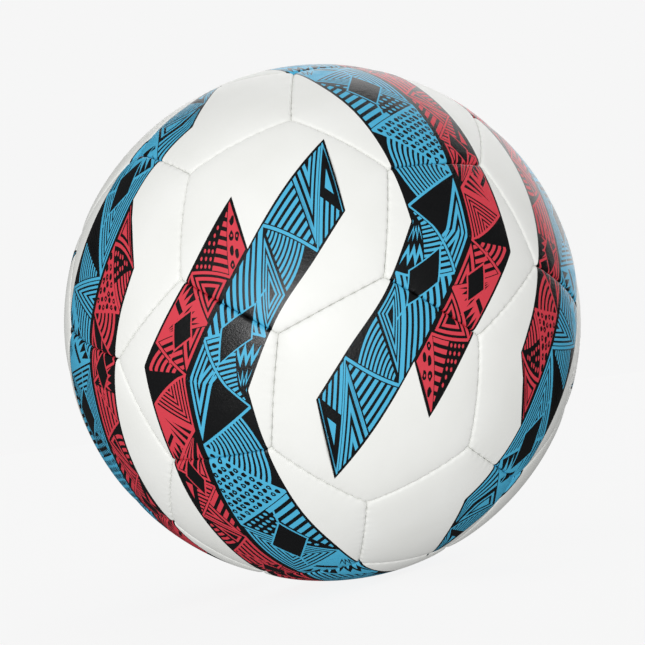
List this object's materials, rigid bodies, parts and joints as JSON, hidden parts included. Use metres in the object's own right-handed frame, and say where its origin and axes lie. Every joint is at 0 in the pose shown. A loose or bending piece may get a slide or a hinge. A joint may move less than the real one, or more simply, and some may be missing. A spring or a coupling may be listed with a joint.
{
  "type": "soccer ball",
  "caption": "Stitched panel ball for soccer, inflated, with a white cover that carries blue and red bands, a rubber bladder and a needle valve.",
  "frame": {"origin": "the ball's centre", "axes": "+Z runs out along the needle bore through the middle of the valve panel; -Y crosses the middle of the seam between two hexagons that faces the viewer; +X is to the viewer's right"},
  "size_m": [0.22, 0.22, 0.2199],
  "materials": {
    "cover": "satin grained synthetic leather, printed",
    "foam": "matt closed-cell foam",
    "lining": "woven cotton and polyester",
    "thread": "waxed polyester",
    "bladder": "dusted butyl",
    "valve_housing": "moulded butyl",
    "valve_core": "soft moulded rubber, oiled"
  },
  "bodies": {
    "root": {"valve_panel": "cover", "hexagon_panel_02": "cover", "hexagon_panel_03": "cover", "hexagon_panel_04": "cover", "hexagon_panel_05": "cover", "hexagon_panel_06": "cover", "hexagon_panel_07": "cover", "hexagon_panel_08": "cover", "hexagon_panel_09": "cover", "hexagon_panel_10": "cover", "hexagon_panel_11": "cover", "hexagon_panel_12": "cover", "hexagon_panel_13": "cover", "hexagon_panel_14": "cover", "hexagon_panel_15": "cover", "hexagon_panel_16": "cover", "hexagon_panel_17": "cover", "hexagon_panel_18": "cover", "hexagon_panel_19": "cover", "hexagon_panel_20": "cover", "pentagon_panel_01": "cover", "pentagon_panel_02": "cover", "pentagon_panel_03": "cover", "pentagon_panel_04": "cover", "pentagon_panel_05": "cover", "pentagon_panel_06": "cover", "pentagon_panel_07": "cover", "pentagon_panel_08": "cover", "pentagon_panel_09": "cover", "pentagon_panel_10": "cover", "pentagon_panel_11": "cover", "pentagon_panel_12": "cover", "hexagon_foam": "foam", "pentagon_foam": "foam", "hexagon_lining": "lining", "pentagon_lining": "lining", "seam_threads": "thread", "bladder": "bladder", "valve_housing": "valve_housing", "valve_core": "valve_core"}
  },
  "joints": []
}
